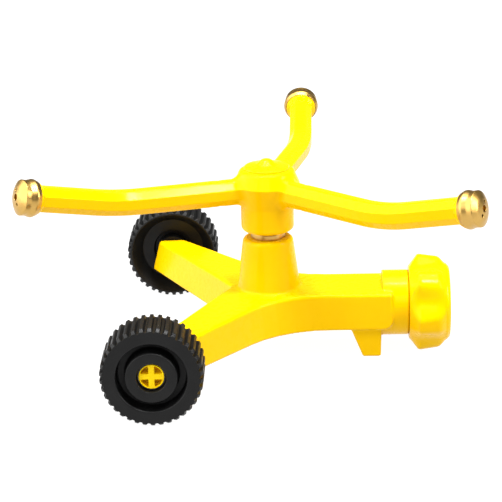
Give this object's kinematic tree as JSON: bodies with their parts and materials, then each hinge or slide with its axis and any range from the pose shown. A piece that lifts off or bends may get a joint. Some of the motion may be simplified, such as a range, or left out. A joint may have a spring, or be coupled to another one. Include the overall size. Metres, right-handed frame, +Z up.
{
  "type": "rotary lawn sprinkler",
  "caption": "Rotary lawn sprinkler: a spinning three-arm rotor with brass jet nozzles on a riser, over a wheeled Y-shaped base with a hose swivel nut and a skid foot.",
  "frame": {"origin": "middle of the bounding box in plan, on the ground; the rotor's spindle axis stands 7.12 mm towards +X and 10.73 mm towards -Y from it", "axes": "+Z up along the rotor's spindle, +X out of the hose inlet, +Y to the left when the sprinkler is towed by its hose"},
  "size_m": [0.1851, 0.1882, 0.0868],
  "materials": {
    "yellow_paint": "gloss",
    "yellow_plastic": "gloss",
    "black_plastic": "satin",
    "brass": "polished",
    "steel": "satin",
    "nylon": "satin",
    "rubber": "matte"
  },
  "bodies": {
    "base": {"base_casting": "yellow_paint", "inlet_tail": "brass", "tail_seal": "rubber", "spindle": "brass", "riser_seal": "rubber", "bearing_ring": "brass", "lower_thrust_washer": "nylon", "upper_thrust_washer": "steel", "spindle_nut": "steel", "axle_pin_left": "yellow_plastic", "axle_pin_right": "yellow_plastic", "axle_clips": "steel", "wheel_spacers": "black_plastic", "wheel_washers": "nylon"},
    "rotor": {"rotor_hub": "yellow_paint", "hub_bush": "brass", "hub_seal": "rubber", "hub_cap": "yellow_paint", "arm_1": "yellow_paint", "arm_2": "yellow_paint", "arm_3": "yellow_paint", "nozzle_seals": "rubber"},
    "hose_nut": {"swivel_nut": "yellow_paint", "hose_washer": "rubber", "filter_screen": "steel"},
    "wheel_left": {"wheel_left": "black_plastic"},
    "wheel_right": {"wheel_right": "black_plastic"},
    "nozzle_1": {"nozzle_1": "brass"},
    "nozzle_2": {"nozzle_2": "brass"},
    "nozzle_3": {"nozzle_3": "brass"}
  },
  "joints": [
    {"name": "rotor_spin", "type": "hinge", "parent": "base", "child": "rotor", "pos_m": [0.00712, -0.01073, 0.06], "axis": [0, 0, 1], "continuous": true},
    {"name": "wheel_left_spin", "type": "hinge", "parent": "base", "child": "wheel_left", "pos_m": [-0.03688, 0.06367, 0.02], "axis": [0, 1, 0], "continuous": true},
    {"name": "wheel_right_spin", "type": "hinge", "parent": "base", "child": "wheel_right", "pos_m": [-0.03688, -0.08513, 0.02], "axis": [0, 1, 0], "continuous": true},
    {"name": "hose_nut_spin", "type": "hinge", "parent": "base", "child": "hose_nut", "pos_m": [0.06612, -0.01073, 0.0192], "axis": [1, 0, 0], "continuous": true},
    {"name": "nozzle_1_turn", "type": "hinge", "parent": "rotor", "child": "nozzle_1", "pos_m": [0.02141, 0.08539, 0.07771], "axis": [0.0094, 0.9743, 0.2251], "range_deg": [-90, 90]},
    {"name": "nozzle_2_turn", "type": "hinge", "parent": "rotor", "child": "nozzle_2", "pos_m": [-0.08327, -0.04641, 0.07771], "axis": [-0.8484, -0.479, 0.2251], "range_deg": [-90, 90]},
    {"name": "nozzle_3_turn", "type": "hinge", "parent": "rotor", "child": "nozzle_3", "pos_m": [0.08322, -0.07117, 0.07771], "axis": [0.8391, -0.4952, 0.2251], "range_deg": [-90, 90]}
  ]
}
